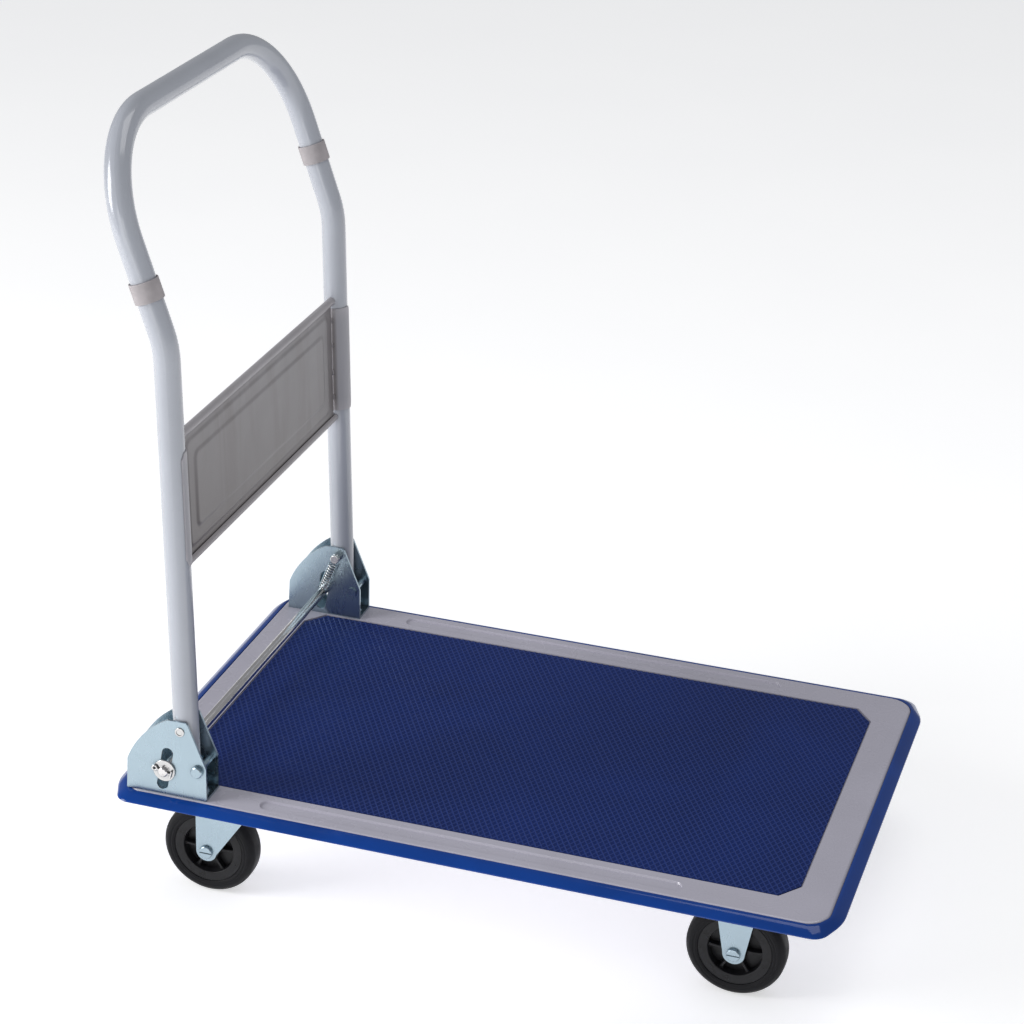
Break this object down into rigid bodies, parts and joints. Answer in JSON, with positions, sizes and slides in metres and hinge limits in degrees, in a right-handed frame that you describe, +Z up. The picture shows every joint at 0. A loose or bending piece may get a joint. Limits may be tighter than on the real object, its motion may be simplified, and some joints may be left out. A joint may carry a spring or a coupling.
{
  "type": "folding platform cart",
  "caption": "Folding platform cart: pressed steel deck with mat and bumper, gooseneck handle that folds flat on a spring-loaded release bar, fixed and swivel casters.",
  "frame": {"origin": "on the floor under the middle of the whole length, 7 mm behind the platform's centre", "axes": "+X to the front, away from the handle; +Y to the left; +Z up"},
  "size_m": [0.7531, 0.481, 0.818],
  "materials": {
    "deck_paint": "light grey gloss enamel with a lilac tint",
    "mat": "deep blue moulded sheet with a fine raised weave",
    "bumper": "glossy royal blue",
    "zinc": "bright zinc plate with a cool tint",
    "bar_steel": "scuffed bright steel",
    "spring_steel": "bright steel wire and balls",
    "handle_paint": "light blue-grey gloss enamel",
    "panel_paint": "dark satin grey enamel",
    "ring": "matte warm grey",
    "tyre": "black rubber",
    "rim": "black moulded plastic"
  },
  "bodies": {
    "cart": {"deck_pan": "deck_paint", "deck_mat": "mat", "bumper": "bumper", "front_channel": "deck_paint", "rear_channel": "deck_paint", "bracket_bolts": "zinc", "pivot_pins": "zinc", "stop_pins": "zinc", "caster_bolts": "zinc", "caster_nuts": "zinc", "hinge_bracket_left": "zinc", "return_spring_left": "spring_steel", "fixed_fork_left": "zinc", "axle_sleeve_front_left": "zinc", "axle_bolt_front_left": "zinc", "swivel_plate_left": "zinc", "kingpin_left": "zinc", "hinge_bracket_right": "zinc", "return_spring_right": "spring_steel", "fixed_fork_right": "zinc", "axle_sleeve_front_right": "zinc", "axle_bolt_front_right": "zinc", "swivel_plate_right": "zinc", "kingpin_right": "zinc"},
    "handle": {"handle_tube": "handle_paint", "pivot_bushes": "zinc", "handle_panel": "panel_paint", "grip_ring_left": "ring", "grip_ring_right": "ring"},
    "release": {"release_bar": "bar_steel", "bar_washers": "zinc", "cotter_pins": "zinc"},
    "swivel_left": {"swivel_fork_left": "zinc", "swivel_balls_left": "spring_steel", "axle_sleeve_rear_left": "zinc", "axle_bolt_rear_left": "zinc"},
    "wheel_front_left": {"tyre_front_left": "tyre", "rim_front_left": "rim"},
    "wheel_rear_left": {"tyre_rear_left": "tyre", "rim_rear_left": "rim"},
    "swivel_right": {"swivel_fork_right": "zinc", "swivel_balls_right": "spring_steel", "axle_sleeve_rear_right": "zinc", "axle_bolt_rear_right": "zinc"},
    "wheel_front_right": {"tyre_front_right": "tyre", "rim_front_right": "rim"},
    "wheel_rear_right": {"tyre_rear_right": "tyre", "rim_rear_right": "rim"}
  },
  "joints": [
    {"name": "handle_fold", "type": "hinge", "parent": "cart", "child": "handle", "pos_m": [-0.2848, 0, 0.2132], "axis": [0, 1, 0], "range_deg": [0, 93]},
    {"name": "release_press", "type": "slide", "parent": "cart", "child": "release", "axis": [-0.1719, 0, -0.9851], "range_m": [0, 0.012], "stiffness_N_per_m": 1200, "springref_m": -0.012, "deforming": ["return_spring_left", "return_spring_right"]},
    {"name": "swivel_turn_left", "type": "hinge", "parent": "cart", "child": "swivel_left", "pos_m": [-0.253, 0.16, 0.105], "axis": [0, 0, 1], "continuous": true},
    {"name": "wheel_spin_front_left", "type": "hinge", "parent": "cart", "child": "wheel_front_left", "pos_m": [0.267, 0.152, 0.05], "axis": [0, 1, 0], "continuous": true},
    {"name": "wheel_spin_rear_left", "type": "hinge", "parent": "swivel_left", "child": "wheel_rear_left", "pos_m": [-0.281, 0.16, 0.05], "axis": [0, 1, 0], "continuous": true},
    {"name": "swivel_turn_right", "type": "hinge", "parent": "cart", "child": "swivel_right", "pos_m": [-0.253, -0.16, 0.105], "axis": [0, 0, 1], "continuous": true},
    {"name": "wheel_spin_front_right", "type": "hinge", "parent": "cart", "child": "wheel_front_right", "pos_m": [0.267, -0.152, 0.05], "axis": [0, 1, 0], "continuous": true},
    {"name": "wheel_spin_rear_right", "type": "hinge", "parent": "swivel_right", "child": "wheel_rear_right", "pos_m": [-0.281, -0.16, 0.05], "axis": [0, 1, 0], "continuous": true}
  ]
}
